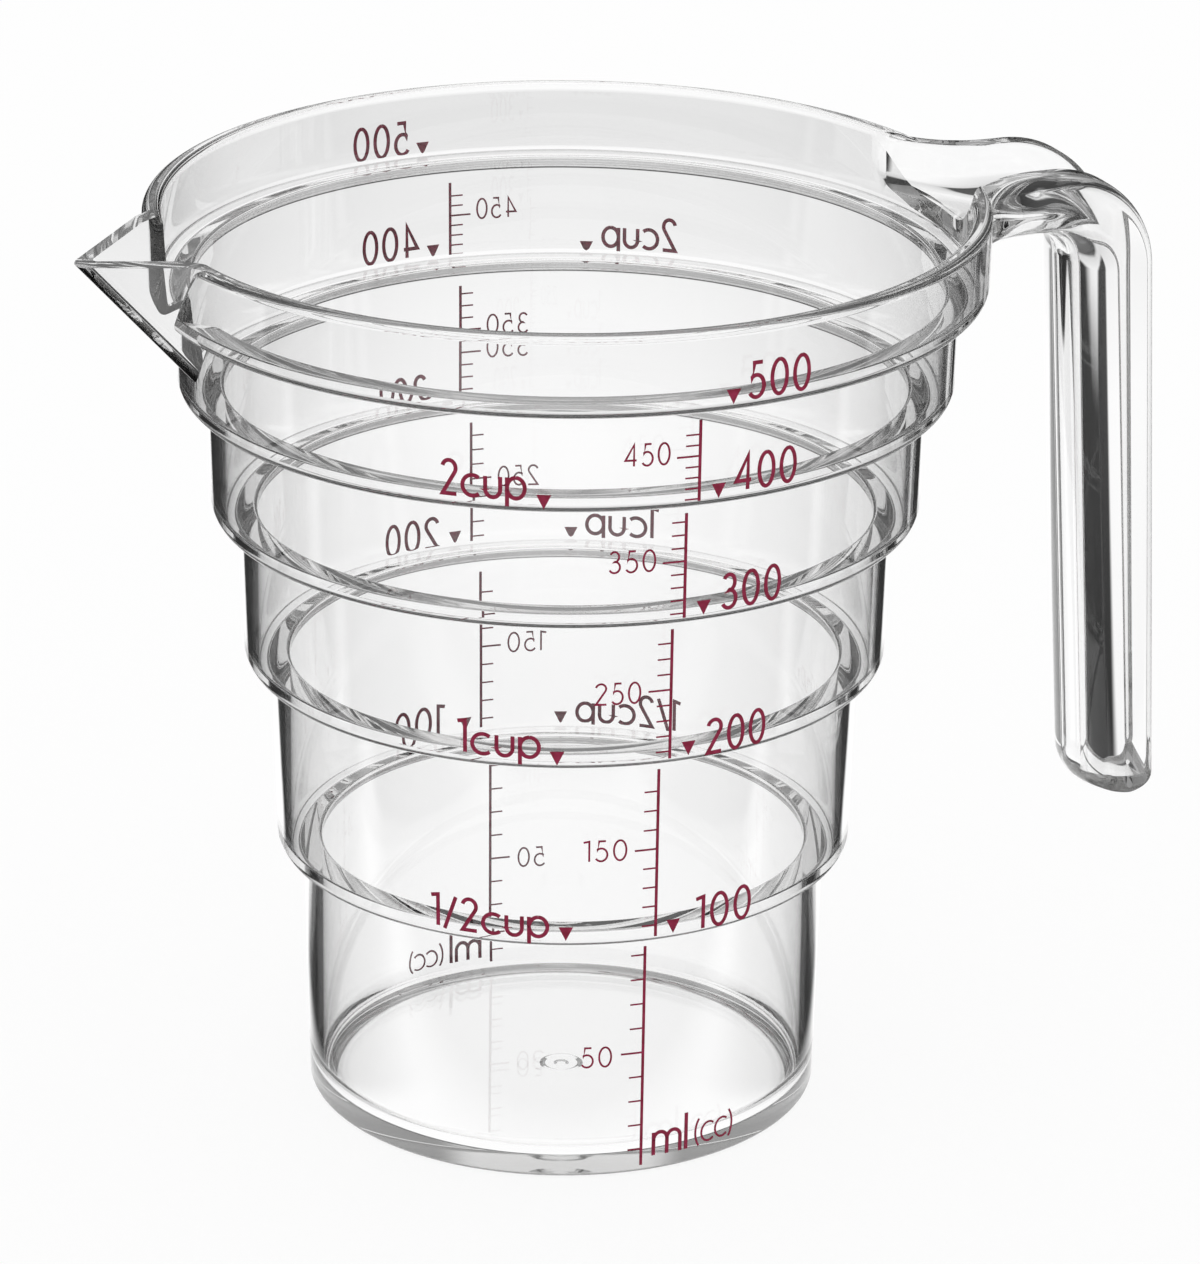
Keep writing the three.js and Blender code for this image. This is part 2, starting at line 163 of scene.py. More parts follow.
mouth = inside_radius(bands[-1]) - BAND_HEIGHTS[-1] * RIM_LEAN
inside = [(0, FLOOR_WALL, 0), (inside_radius(bands[0]), FLOOR_WALL, FLOOR_FILLET)]
for lower, upper in zip(bands, bands[1:]):
    ledge = upper["low"] + LEDGE_WALL
    inside.append((inside_radius(lower), ledge, LIP_EDGE))
    inside.append((inside_radius(upper), ledge, INNER_CORNER))
inside.append((mouth + HOLD * RIM_LEAN, RIM_HEIGHT - RIM_EDGE - HOLD, 0))
inside.append((mouth, RIM_HEIGHT - RIM_EDGE, 0))
for step in range(1, ARC_STEPS + 1):
    turn = math.pi / 2 * step / ARC_STEPS
    flare = RIM_EDGE * (1 - math.cos(turn))
    inside.append((mouth + flare, RIM_HEIGHT - RIM_EDGE * (1 - math.sin(turn)), 0))
inside.append((mouth + RIM_EDGE, RIM_HEIGHT + 2 * RIM_EDGE, 0))
inside.append((0, RIM_HEIGHT + 2 * RIM_EDGE, 0))

# The spout: a V-shaped trough of the same shot, which grows out of the rim opposite the handle.
# Its keel is rounded and climbs outwards to a point, and its lip falls a little towards the tip
# so that the stream breaks off cleanly.
SPOUT_KEEL_ANGLE = math.radians(48.5)
SPOUT_HALF_ANGLE = math.radians(46.0)
SPOUT_KEEL_RADIUS = 3.0
SPOUT_WALL = 2.0
SPOUT_REACH = 9.75
SPOUT_KEEL_DROP = 3.2
SPOUT_LIP_FALL = 0.17
rim_radius = bands[-1]["radius"]


def prism(name, outline, origin, across, up, along, length):
    """Solid with the same outline (across, up) at both ends of its length."""
    count = len(outline)
    vertices = []
    for distance in (0, length):
        for point in outline:
            vertices.append(origin + across * point.x + up * point.y + along * distance)
    faces = [tuple(reversed(range(count))), tuple(range(count, 2 * count))]
    for here in range(count):
        after = (here + 1) % count
        faces.append((here, after, count + after, count + here))
    return mesh_object(name, vertices, faces)


def cut_or_join(target, tool, operation):
    """Boolean of two solids, applied to the first; the second is used up."""
    step = target.modifiers.new(operation, "BOOLEAN")
    step.operation = operation
    step.solver = "MANIFOLD"
    step.object = tool
    evaluated = target.evaluated_get(bpy.context.evaluated_depsgraph_get())
    result = bpy.data.meshes.new_from_object(evaluated)
    target.modifiers.clear()
    target.data = result
    bpy.data.objects.remove(tool)


def trough(name, inset):
    """The V of the spout, with all its faces moved in by the inset."""
    span = math.pi / 2 - SPOUT_HALF_ANGLE
    bow_radius = SPOUT_KEEL_RADIUS - inset
    outline = []
    for step in range(2 * ARC_STEPS + 1):
        turn = span * (step / ARC_STEPS - 1)
        outline.append(Vector((bow_radius * math.sin(turn), SPOUT_KEEL_RADIUS - bow_radius * math.cos(turn))))
    arm = Vector((rim_radius * math.sin(SPOUT_HALF_ANGLE), rim_radius * math.cos(SPOUT_HALF_ANGLE)))
    outline.append(outline[-1] + arm)
    outline.append(outline[0] + Vector((-arm.x, arm.y)))
    along = Vector((-math.cos(SPOUT_KEEL_ANGLE), 0, math.sin(SPOUT_KEEL_ANGLE)))
    up = Vector((math.sin(SPOUT_KEEL_ANGLE), 0, math.cos(SPOUT_KEEL_ANGLE)))
    back = (SPOUT_REACH + 2 * LEDGE_STEP) / math.cos(SPOUT_KEEL_ANGLE)
    tip = Vector((-rim_radius - SPOUT_REACH, 0, RIM_HEIGHT - SPOUT_KEEL_DROP))
    return prism(name, outline, tip - along * back, up.cross(along), up, along, back + 2 * SPOUT_REACH)


far = 2 * RIM_HEIGHT
under_lip = [
    Vector((-far, -far)),
    Vector((far, -far)),
    Vector((far, RIM_HEIGHT)),
    Vector((-rim_radius, RIM_HEIGHT)),
    Vector((-far, RIM_HEIGHT - (far - rim_radius) * SPOUT_LIP_FALL)),
]
lip_block = prism("lip_block", under_lip, Vector((0, far, 0)), Vector((1, 0, 0)), Vector((0, 0, 1)),
                  Vector((0, -1, 0)), 2 * far)
spout = trough("spout", 0)
cut_or_join(spout, lip_block, "INTERSECT")

# The handle: a strap of the same shot that flares into the rim, bends down and hangs free beside
# the cup. It is crowned on the face that the fingers hold, rounded along its edges, and tapers a
# little towards its rounded foot so that it leaves the mould.
HANDLE_TOP_DROP = 0.6
HANDLE_THICKNESS = 6.8
HANDLE_WIDTH = 20.0
HANDLE_EDGE = 1.8
EDGE_LIMIT = 0.98
HANDLE_CROWN = 3.0
CROWN_FULLNESS = 2.0
HANDLE_ROOT_FILLET = 12.0
HANDLE_ROOT_SINK = 0.15
HANDLE_ROOT_OVERLAP = 6
HANDLE_LEVEL_LENGTH = 2.2
HANDLE_BEND_RADIUS = 10.65
HANDLE_SPLAY = math.radians(3.2)
HANDLE_HANG = 89.2
HANDLE_FOOT_ROUND = 3.3
HANDLE_DRAFT = 0.006
CORNER_POINTS = 10
FACE_POINTS = 20
ROOT_STEPS = 20
BEND_STEPS = 24
FOOT_STEPS = 10


def strap_section(x, z, half, wide, normal):
    """Ring across the strap: rounded edges and a crown on the face towards the fingers."""
    edge = EDGE_LIMIT * min(HANDLE_EDGE, half, wide)
    flat = wide - edge
    ring = []
    for corner, (side_n, side_y) in enumerate(((1, 1), (-1, 1), (-1, -1), (1, -1))):
        for step in range(CORNER_POINTS):
            turn = math.pi / 2 * (corner + step / (CORNER_POINTS - 1))
            n = side_n * (half - edge) + edge * math.cos(turn)
            ring.append((n, side_y * flat + edge * math.sin(turn)))
        if side_n != side_y:
            for step in range(1, FACE_POINTS):
                ring.append((side_n * half, side_y * flat * (1 - 2 * step / FACE_POINTS)))
    points = []
    for n, y in ring:
        if n < 0:
            n -= HANDLE_CROWN * max(0, 1 - abs(y / wide) ** CROWN_FULLNESS) * min(1, -n / half)
        points.append(Vector((x + n * math.cos(normal), y, z + n * math.sin(normal))))
    return points


def lofted_solid(name, rings):
    """Solid through rings of equally many points."""
    count = len(rings[0])
    last = (len(rings) - 1) * count
    faces = [tuple(range(count)), tuple(reversed(range(last, last + count)))]
    for row in range(len(rings) - 1):
        for here in range(count):
            after = (here + 1) % count
            low = row * count
            high = low + count
            faces.append((low + after, low + here, high + here, high + after))
    return mesh_object(name, [point for ring in rings for point in ring], faces)


half = HANDLE_THICKNESS / 2
wide = HANDLE_WIDTH / 2
level = RIM_HEIGHT - HANDLE_TOP_DROP - half
fillet = HANDLE_ROOT_FILLET
seat = rim_outer - HANDLE_ROOT_SINK
fillet_end = math.sqrt((seat + fillet) ** 2 - (wide + fillet) ** 2)
fillet_start = fillet_end * seat / (seat + fillet)
root_wide = wide + fillet - math.sqrt(fillet ** 2 - (fillet_end - fillet_start) ** 2)
sections = [strap_section(fillet_start - HANDLE_ROOT_OVERLAP, level, half, root_wide, math.pi / 2)]
for step in range(ROOT_STEPS + 1):
    x = fillet_start + (fillet_end - fillet_start) * step / ROOT_STEPS
    flare = fillet - math.sqrt(fillet ** 2 - (fillet_end - x) ** 2)
    sections.append(strap_section(x, level, half, wide + flare, math.pi / 2))
bend_x = fillet_end + HANDLE_LEVEL_LENGTH
bend = []
for step in range(BEND_STEPS + 1):
    turn = math.pi / 2 - (math.pi / 2 - HANDLE_SPLAY) * step / BEND_STEPS
    leg_x = bend_x + HANDLE_BEND_RADIUS * math.cos(turn)
    leg_z = level + HANDLE_BEND_RADIUS * (math.sin(turn) - 1)
    bend.append((leg_x, leg_z, turn))
    sections.append(strap_section(leg_x, leg_z, half, wide, turn))
leg_length = (leg_z - level - half + HANDLE_HANG) / math.cos(HANDLE_SPLAY)
# How far down the leg each ring is, and how far the rounding of the foot has turned there.
leg_rings = [(HOLD, 0.0), (leg_length - HANDLE_FOOT_ROUND - HOLD, 0.0)]
for step in range(FOOT_STEPS + 1):
    turn = math.pi / 2 * step / FOOT_STEPS
    leg_rings.append((leg_length - HANDLE_FOOT_ROUND * (1 - math.sin(turn)), turn))
for down, turn in leg_rings:
    draw_in = HANDLE_FOOT_ROUND * (1 - math.cos(turn)) + down * HANDLE_DRAFT
    sections.append(strap_section(
        leg_x + down * math.sin(HANDLE_SPLAY), leg_z - down * math.cos(HANDLE_SPLAY),
        half - draw_in, wide - draw_in, HANDLE_SPLAY))
strap = lofted_solid("strap", sections)

# The channel of the handle: a core in the mould leaves it in the face away from the fingers, so
# that the wall is about even and doesn't sink as it cools. It opens into the cup, where the rim
# runs out along both of its edges, goes round the bend and ends just above the foot.
CHANNEL_WALL = 3.6
CHANNEL_DEPTH = 6.8
CHANNEL_FULLNESS = 3.6
MOUTH_DEPTH = 6.2
MOUTH_FULLNESS = 5.0
FOOT_WALL = 2.4
CHANNEL_OPEN = 5
MOUTH_CLEAR = 0.15
FACE_CLEAR = 0.05
CHANNEL_POINTS = 40
CHANNEL_STEPS = 24


def channel_ring(x, z, normal, side, depth, fullness, edge):
    """Ring across the channel, open beyond the face of the strap away from the fingers."""
    outline = [(half + CHANNEL_OPEN, -side), (half + CHANNEL_OPEN, side)]
    for point in range(CHANNEL_POINTS + 1):
        across = 1 - 2 * point / CHANNEL_POINTS
        outline.append((edge - depth * (1 - abs(across) ** fullness), side * across))
    return [Vector((x + n * math.cos(normal), y, z + n * math.sin(normal))) for n, y in outline]


channel_start = fillet_end * (seat - RIM_WALL) / (seat + fillet)
channel_side = wide - CHANNEL_WALL
mouth_edge = RIM_HEIGHT - level + MOUTH_CLEAR
face_edge = half + FACE_CLEAR
rings = []
for step in range(-1, CHANNEL_STEPS + 1):
    share = max(0, step) / CHANNEL_STEPS
    ease = share * share * (3 - 2 * share)
    offset = (fillet_end - channel_start) * (1 - share)
    wall = RIM_WALL + (CHANNEL_WALL - RIM_WALL) * ease
    rings.append(channel_ring(
        fillet_end - offset - (HANDLE_ROOT_OVERLAP if step < 0 else 0), level, math.pi / 2,
        wide + fillet - math.sqrt((fillet + wall) ** 2 - offset ** 2),
        MOUTH_DEPTH + (CHANNEL_DEPTH - MOUTH_DEPTH) * ease,
        MOUTH_FULLNESS + (CHANNEL_FULLNESS - MOUTH_FULLNESS) * ease,
        mouth_edge + (face_edge - mouth_edge) * ease))
for x, z, turn in bend:
    rings.append(channel_ring(x, z, turn, channel_side, CHANNEL_DEPTH, CHANNEL_FULLNESS, face_edge))
for down in (HOLD, leg_length - FOOT_WALL):
    rings.append(channel_ring(
        leg_x + down * math.sin(HANDLE_SPLAY), leg_z - down * math.cos(HANDLE_SPLAY), HANDLE_SPLAY,
        channel_side - down * HANDLE_DRAFT, CHANNEL_DEPTH - down * HANDLE_DRAFT, CHANNEL_FULLNESS, face_edge))
channel = lofted_solid("channel", rings)

# The finished moulding: body, spout and strap are one shot of clear resin, so they are joined
# first, and the core, the inside of the spout and the channel are then cut out of them together.
# No seam is left between the pieces, as in the real cup.
SHARP_ANGLE = math.radians(28)
cut_or_join(cup, spout, "UNION")
cut_or_join(cup, strap, "UNION")
cut_or_join(cup, turned_solid("inside", rounded_outline(inside)), "DIFFERENCE")
cut_or_join(cup, trough("spout_inside", SPOUT_WALL), "DIFFERENCE")
cut_or_join(cup, channel, "DIFFERENCE")
cup.data.shade_smooth()
cup.data.set_sharp_from_angle(angle=SHARP_ANGLE)


def linear(hex_colour):
    """sRGB hex to the linear colour that the shaders take."""
    channels = []
    for start in (0, 2, 4):
        value = int(hex_colour[start:start + 2], 16) / 255
        channels.append(value / 12.92 if value <= 0.04045 else ((value + 0.055) / 1.055) ** 2.4)
    return (*channels, 1.0)


def add_node(tree, kind, settings=None, links=None):
    """One node of that kind; settings name properties or input sockets, links feed input sockets."""
    node = tree.nodes.new(kind)
    for name, value in (settings or {}).items():
        if isinstance(name, int) or name in node.inputs:
            node.inputs[name].default_value = value
        else:
            setattr(node, name, value)
    for name, source in (links or {}).items():
        tree.links.new(source, node.inputs[name])
    return node


# SAN resin, injection moulded against polished steel. It is water clear and as glossy as glass,
# so the eye reads it from its dark and bright edges; a faint waviness from the flow makes them
# swim a little, and thick places are slightly grey.
FLOW_WAVE = 14.0
FLOW_DEPTH = 0.02
resin = bpy.data.materials.new("san_resin_moulded_clear")
resin.use_nodes = True
tree = resin.node_tree
tree.nodes.clear()
place = add_node(tree, "ShaderNodeTexCoord")
flow = add_node(tree, "ShaderNodeTexNoise", {"Scale": 1 / (FLOW_WAVE * MM), "Detail": 1.0},
                {"Vector": place.outputs["Object"]})
ripple = add_node(tree, "ShaderNodeBump", {"Strength": 0.3, "Distance": FLOW_DEPTH * MM},
                  {"Height": flow.outputs["Fac"]})
surface = add_node(tree, "ShaderNodeBsdfPrincipled", {
    "Base Color": linear("ffffff"), "Roughness": 0.0, "IOR": 1.57, "Transmission Weight": 1.0,
}, {"Normal": ripple.outputs["Normal"]})
body = add_node(tree, "ShaderNodeVolumeAbsorption", {"Color": linear("8c8a86"), "Density": 5.5})
add_node(tree, "ShaderNodeOutputMaterial", links={
    "Surface": surface.outputs["BSDF"], "Volume": body.outputs["Volume"]})
cup.data.materials.clear()
cup.data.materials.append(resin)
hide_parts("cup_body", "handle")
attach(cup, "root")

# The scale ladders and pointers: thin films of wine red ink on the outside of the bands.
# They are pad printed, once on each side of the cup, so the far print shows through the wall
# from behind. Their shapes are the part's own solids.
INK_GRAIN = 0.8
# Pad print ink, laid on by a silicone pad. The film is satin rather than glossy and a little
# uneven, which gives the eye a fine mottle from wine red to a lighter red.
ink = bpy.data.materials.new("pad_print_ink_wine_red")
ink.use_nodes = True
tree = ink.node_tree
tree.nodes.clear()
place = add_node(tree, "ShaderNodeTexCoord")
grain = add_node(tree, "ShaderNodeTexNoise", {"Scale": 1 / (INK_GRAIN * MM), "Detail": 3.0},
                 {"Vector": place.outputs["Object"]})
shade = add_node(tree, "ShaderNodeValToRGB", links={"Fac": grain.outputs["Fac"]})
shade.color_ramp.elements[0].position = 0.35
shade.color_ramp.elements[0].color = linear("7c1a33")
shade.color_ramp.elements[1].position = 0.7
shade.color_ramp.elements[1].color = linear("932848")
surface = add_node(tree, "ShaderNodeBsdfPrincipled", {
    "Roughness": 0.5, "IOR": 1.5, "Specular IOR Level": 0.2,
}, {"Base Color": shade.outputs["Color"]})
add_node(tree, "ShaderNodeOutputMaterial", links={"Surface": surface.outputs["BSDF"]})
for name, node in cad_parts.items():
    if name.startswith(("scale_", "pointer_")):
        node.data.materials.clear()
        node.data.materials.append(ink)

# The numbers, units and cup words: films of the same ink, printed in the same stroke of the pad
# as the ladders. Each letter is drawn as lines of even weight, and each line of print is wrapped
# round its band.
INK_GAP = 0.04
INK_THICKNESS = 0.06
SHARPEST_MITRE = 0.35


def bow(x, y, rx, ry, start, end, steps=20):
    """Points on an ellipse round (x, y) between two angles in degrees."""
    points = []
    for step in range(steps + 1):
        turn = math.radians(start + (end - start) * step / steps)
        points.append((x + rx * math.cos(turn), y + ry * math.sin(turn)))
    return points


# Each letter: its width, then its strokes, in parts of the height of a numeral.
LETTERS = {
    "0": (0.48, [bow(0.24, 0.5, 0.24, 0.5, 90, 450, 36)]),
    "1": (0.22, [[(0, 0.95), (0.22, 1.0), (0.22, 0)]]),
    "2": (0.42, [bow(0.21, 0.77, 0.21, 0.23, 165, -35) + [(0, 0), (0.44, 0)]]),
    "3": (0.42, [bow(0.2, 0.76, 0.18, 0.24, 150, -90) + bow(0.2, 0.27, 0.22, 0.27, 85, -150)]),
    "4": (0.48, [[(0.37, 0), (0.37, 1.0), (0, 0.27), (0.48, 0.27)]]),
    "5": (0.44, [[(0.38, 1.0), (0.12, 1.0), (0.06, 0.56)] + bow(0.2, 0.32, 0.24, 0.32, 125, -145)]),
    "/": (0.36, [[(0, -0.06), (0.36, 1.0)]]),
    "c": (0.5, [bow(0.31, 0.31, 0.31, 0.31, 50, 310)]),
    "u": (0.46, [[(0, 0.62), (0, 0.24)] + bow(0.23, 0.24, 0.23, 0.24, 180, 360) + [(0.46, 0.62)]]),
    "p": (0.5, [[(0, 0.62), (0, -0.24)], bow(0.27, 0.31, 0.27, 0.31, 90, 450, 30)]),
    "m": (0.74, [[(0, 0.62), (0, 0)],
                 [(0, 0.4)] + bow(0.185, 0.42, 0.185, 0.2, 180, 0) + [(0.37, 0)],
                 [(0.37, 0.4)] + bow(0.555, 0.42, 0.185, 0.2, 180, 0) + [(0.74, 0)]]),
    "l": (0.0, [[(0, 1.0), (0, 0)]]),
    "(": (0.16, [bow(0.5, 0.36, 0.5, 0.62, 135, 225)]),
    ")": (0.16, [bow(-0.34, 0.36, 0.5, 0.62, 45, -45)]),
}


def stroke_solid(points, weight, lift, vertices, faces):
    """Adds one stroke of that weight, as a closed film, to the vertices and faces in millimetres."""
    first = len(vertices)
    count = len(points)
    for here, point in enumerate(points):
        back = Vector(points[max(here - 1, 0)])
        ahead = Vector(points[min(here + 1, count - 1)])
        at = Vector(point)
        before = (at - back).normalized() if here > 0 else (ahead - at).normalized()
        after = (ahead - at).normalized() if here < count - 1 else before
        along = (before + after).normalized()
        side = Vector((-along.y, along.x)) * (weight / 2 / max(SHARPEST_MITRE, along.dot(before)))
        for offset in (side, -side):
            for height in lift:
                vertices.append((at.x + offset.x, at.y + offset.y, height))
    for here in range(count - 1):
        a = first + 4 * here
        b = a + 4
        faces.extend([
            (a + 1, a + 3, b + 3, b + 1),
            (a + 2, a, b, b + 2),
            (a, a + 1, b + 1, b),
            (a + 3, a + 2, b + 2, b + 3),
        ])
    end = first + 4 * (count - 1)
    faces.append((first, first + 2, first + 3, first + 1))
    faces.append((end, end + 1, end + 3, end + 2))


def print_label(name, text, band, left_angle, width, base, height, weight, gap):
    """One line of print whose left end is at that angle on the band."""
    pen = weight / 2
    lines = []
    for letter in text:
        letter_width, strokes = LETTERS[letter]
        for stroke in strokes:
            lines.append([(pen + x * height, y * height) for x, y in stroke])
        pen += letter_width * height + gap
    natural = pen - gap + weight / 2
    stretch = width / natural
    vertices = []
    faces = []
    for line in lines:
        fitted = [(x * stretch, y) for x, y in line]
        stroke_solid(fitted, weight, (INK_GAP, INK_GAP + INK_THICKNESS), vertices, faces)
    wrapped = []
    for x, y, lift in vertices:
        z = base + y
        radius = outside_radius(band, z)
        angle = math.radians(left_angle) + x / radius
        wrapped.append(((radius + lift) * math.cos(angle), (radius + lift) * math.sin(angle), z))
    label = mesh_object(name, wrapped, faces)
    label.data.materials.append(ink)
    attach(label, "root")


BIG = (4.4, 0.5, 1.15)
SMALL = (2.75, 0.25, 0.7)
WORD = (4.3, 0.5, 0.9)
UNIT_ML = (5.2, 0.5, 0.9)
UNIT_CC = (4.4, 0.28, 0.4)
# Name, text, band, angle of the left end, width, base line, and the height, weight and gap.
LABELS = (
    ("number_50", "50", 0, -106.2, 4.05, 15.75, SMALL),
    ("number_150", "150", 1, -106.7, 5.7, 46.2, SMALL),
    ("number_250", "250", 2, -105.2, 5.8, 69.0, SMALL),
    ("number_350", "350", 3, -103.8, 5.9, 87.85, SMALL),
    ("number_450", "450", 4, -102.3, 5.65, 103.0, SMALL),
    ("number_100", "100", 1, -84.2, 8.7, 35.15, BIG),
    ("number_200", "200", 2, -85.3, 8.7, 61.0, BIG),
    ("number_300", "300", 3, -85.7, 8.6, 81.75, BIG),
    ("number_400", "400", 4, -86.2, 8.7, 98.55, BIG),
    ("number_500", "500", 5, -86.6, 8.6, 111.75, BIG),
    ("unit_ml", "ml", 0, -90.0, 5.1, 2.2, UNIT_ML),
    ("unit_cc", "(cc)", 0, -79.5, 6.1, 2.55, UNIT_CC),
    ("word_half_cup", "1/2cup", 1, -136.8, 15.5, 35.8, WORD),
    ("word_one_cup", "1cup", 2, -129.1, 10.6, 61.9, WORD),
    ("word_two_cup", "2cup", 4, -128.0, 10.4, 98.85, WORD),
)
for side, turn in (("front", 0), ("back", 180)):
    for name, text, band, angle, width, base, lettering in LABELS:
        print_label(f"{name}_{side}", text, bands[band], angle + turn, width, base, *lettering)

# The table: a plain sheet of white paper, lit evenly. No card lies on it. Where a photographer of clear ware
# would lay a dark card on each side, two dark card shapes are painted on it for rays from the resin only, and
# painted shade dims the table far behind. These are painted reflections: the wall bends them into its edges,
# which draws them. Only the resin shows them, and the sheet itself stays white.
FLOOR_SIZE = 6000.0
FLOOR_DROP = 0.3
VIEW_TURN = math.radians(20.4)
CARD_START = 33.0
CARD_SPREAD = 0.2
CARD_STEP = 29.0
CARD_STEP_FROM = 30.0
CARD_STEP_TO = 80.0
CARD_WIDTH = 220.0
CARD_SOFT = 9.0
CARD_FRONT = -45.0
# How dark the painted card shapes make the sheet for the resin: a painted reflection, with no card in the
# scene.
PAINTED_CARD_SHADE = 0.03
HANDLE_CARD_REACH = 480.0
HANDLE_CARD_REACH_SOFT = 80.0
HANDLE_CARD_WIDTH = 180.0
HANDLE_CARD_WIDTH_SOFT = 40.0
FRONT_REACH = 300.0
BACK_REACH = 750.0
SHEET_LIGHT = 1.05
SHEET_WHITE = 0.88
# A straight ray crosses two faces in one wall and four in two, so this lies between them.
ONE_WALL = 3.5
floor = mesh_object("floor", [
    (-FLOOR_SIZE, -FLOOR_SIZE, -FLOOR_DROP),
    (FLOOR_SIZE, -FLOOR_SIZE, -FLOOR_DROP),
    (FLOOR_SIZE, FLOOR_SIZE, -FLOOR_DROP),
    (-FLOOR_SIZE, FLOOR_SIZE, -FLOOR_DROP),
], [(0, 1, 2, 3)])

# White paper, uncoated. It scatters light evenly, so the eye sees no gloss, only the soft shadow. To rays
# from the resin it shows painted reflections instead: dark card shapes and painted bands of shade.
sheet = bpy.data.materials.new("white_paper_with_painted_reflections")
sheet.use_nodes = True
tree = sheet.node_tree
tree.nodes.clear()
path = add_node(tree, "ShaderNodeLightPath")
place = add_node(tree, "ShaderNodeTexCoord")
turned = add_node(tree, "ShaderNodeMapping", {
    "Rotation": (0, 0, VIEW_TURN), "Scale": (1 / MM, 1 / MM, 1 / MM),
}, {"Vector": place.outputs["Object"]})
split = add_node(tree, "ShaderNodeSeparateXYZ", links={"Vector": turned.outputs["Vector"]})
# The outline of the two painted card shapes: they spread behind the cup, and step outwards there.
aside = add_node(tree, "ShaderNodeMath", {"operation": "ABSOLUTE"}, {0: split.outputs["X"]})
ahead = add_node(tree, "ShaderNodeMath", {"operation": "MAXIMUM", 1: 0.0}, {0: split.outputs["Y"]})
spread = add_node(tree, "ShaderNodeMath", {"operation": "MULTIPLY_ADD", 1: -CARD_SPREAD},
                  {0: ahead.outputs[0], 2: aside.outputs[0]})
back_off = add_node(tree, "ShaderNodeMapRange", {
    "interpolation_type": "SMOOTHSTEP",
    "From Min": CARD_STEP_FROM, "From Max": CARD_STEP_TO, "To Max": CARD_STEP,
}, {"Value": split.outputs["Y"]})
edge = add_node(tree, "ShaderNodeMath", {"operation": "SUBTRACT"},
                {0: spread.outputs[0], 1: back_off.outputs["Result"]})
inner = add_node(tree, "ShaderNodeMapRange", {
    "interpolation_type": "SMOOTHSTEP", "From Min": CARD_START, "From Max": CARD_START + CARD_SOFT,
}, {"Value": edge.outputs[0]})
outer = add_node(tree, "ShaderNodeMapRange", {
    "interpolation_type": "SMOOTHSTEP",
    "From Min": CARD_START + CARD_WIDTH, "From Max": CARD_START + 2 * CARD_WIDTH,
    "To Min": 1.0, "To Max": 0.0,
}, {"Value": edge.outputs[0]})
front = add_node(tree, "ShaderNodeMapRange", {
    "interpolation_type": "SMOOTHSTEP", "From Min": CARD_FRONT, "From Max": CARD_FRONT + 3 * CARD_SOFT,
}, {"Value": split.outputs["Y"]})
strip = add_node(tree, "ShaderNodeMath", {"operation": "MULTIPLY"},
                 {0: inner.outputs["Result"], 1: outer.outputs["Result"]})
side_card = add_node(tree, "ShaderNodeMath", {"operation": "MULTIPLY"},
                     {0: strip.outputs[0], 1: front.outputs["Result"]})
# Edges that mirror show both painted card shapes. The handle, a single wall, shows the near part of the right
# one. A straight view through the cup shows neither, so that it stays clear from other sides.
mirrored = add_node(tree, "ShaderNodeMath", {"operation": "MINIMUM", 1: 1.0},
                    {0: path.outputs["Glossy Depth"]})
one_wall = add_node(tree, "ShaderNodeMath", {"operation": "LESS_THAN", 1: ONE_WALL},
                    {0: path.outputs["Transmission Depth"]})
distance = add_node(tree, "ShaderNodeVectorMath", {"operation": "LENGTH"}, {0: turned.outputs["Vector"]})
within_reach = add_node(tree, "ShaderNodeMapRange", {
    "interpolation_type": "SMOOTHSTEP",
    "From Min": HANDLE_CARD_REACH, "From Max": HANDLE_CARD_REACH + HANDLE_CARD_REACH_SOFT,
    "To Min": 1.0, "To Max": 0.0,
}, {"Value": distance.outputs["Value"]})
within_width = add_node(tree, "ShaderNodeMapRange", {
    "interpolation_type": "SMOOTHSTEP",
    "From Min": HANDLE_CARD_WIDTH, "From Max": HANDLE_CARD_WIDTH + HANDLE_CARD_WIDTH_SOFT,
    "To Min": 1.0, "To Max": 0.0,
}, {"Value": split.outputs["X"]})
on_right = add_node(tree, "ShaderNodeMath", {"operation": "GREATER_THAN", 1: 0.0}, {0: split.outputs["X"]})
right_side = add_node(tree, "ShaderNodeMath", {"operation": "MULTIPLY"},
                      {0: within_width.outputs["Result"], 1: on_right.outputs[0]})
right_card = add_node(tree, "ShaderNodeMath", {"operation": "MULTIPLY"},
                      {0: right_side.outputs[0], 1: within_reach.outputs["Result"]})
handle_ray = add_node(tree, "ShaderNodeMath", {"operation": "MULTIPLY"},
                      {0: one_wall.outputs[0], 1: right_card.outputs[0]})
shown = add_node(tree, "ShaderNodeMath", {"operation": "MAXIMUM"},
                 {0: mirrored.outputs[0], 1: handle_ray.outputs[0]})
card = add_node(tree, "ShaderNodeMath", {"operation": "MULTIPLY"},
                {0: side_card.outputs[0], 1: shown.outputs[0]})
# Painted shade: the sheet goes dark under the card shapes, for the rays chosen above.
painted_card_darkening = add_node(tree, "ShaderNodeMapRange", {"To Min": 1.0, "To Max": PAINTED_CARD_SHADE},
                  {"Value": card.outputs[0]})
# The sheet from front to back, as the resin sees it: a painted dark line just before the cup, where the cup's
# shadow would fall, draws the edge of the rim, and painted shade dims the far table to draw the far rim.
front_share = add_node(tree, "ShaderNodeMapRange", {"From Min": -FRONT_REACH, "From Max": 0.0},
                       {"Value": split.outputs["Y"]})
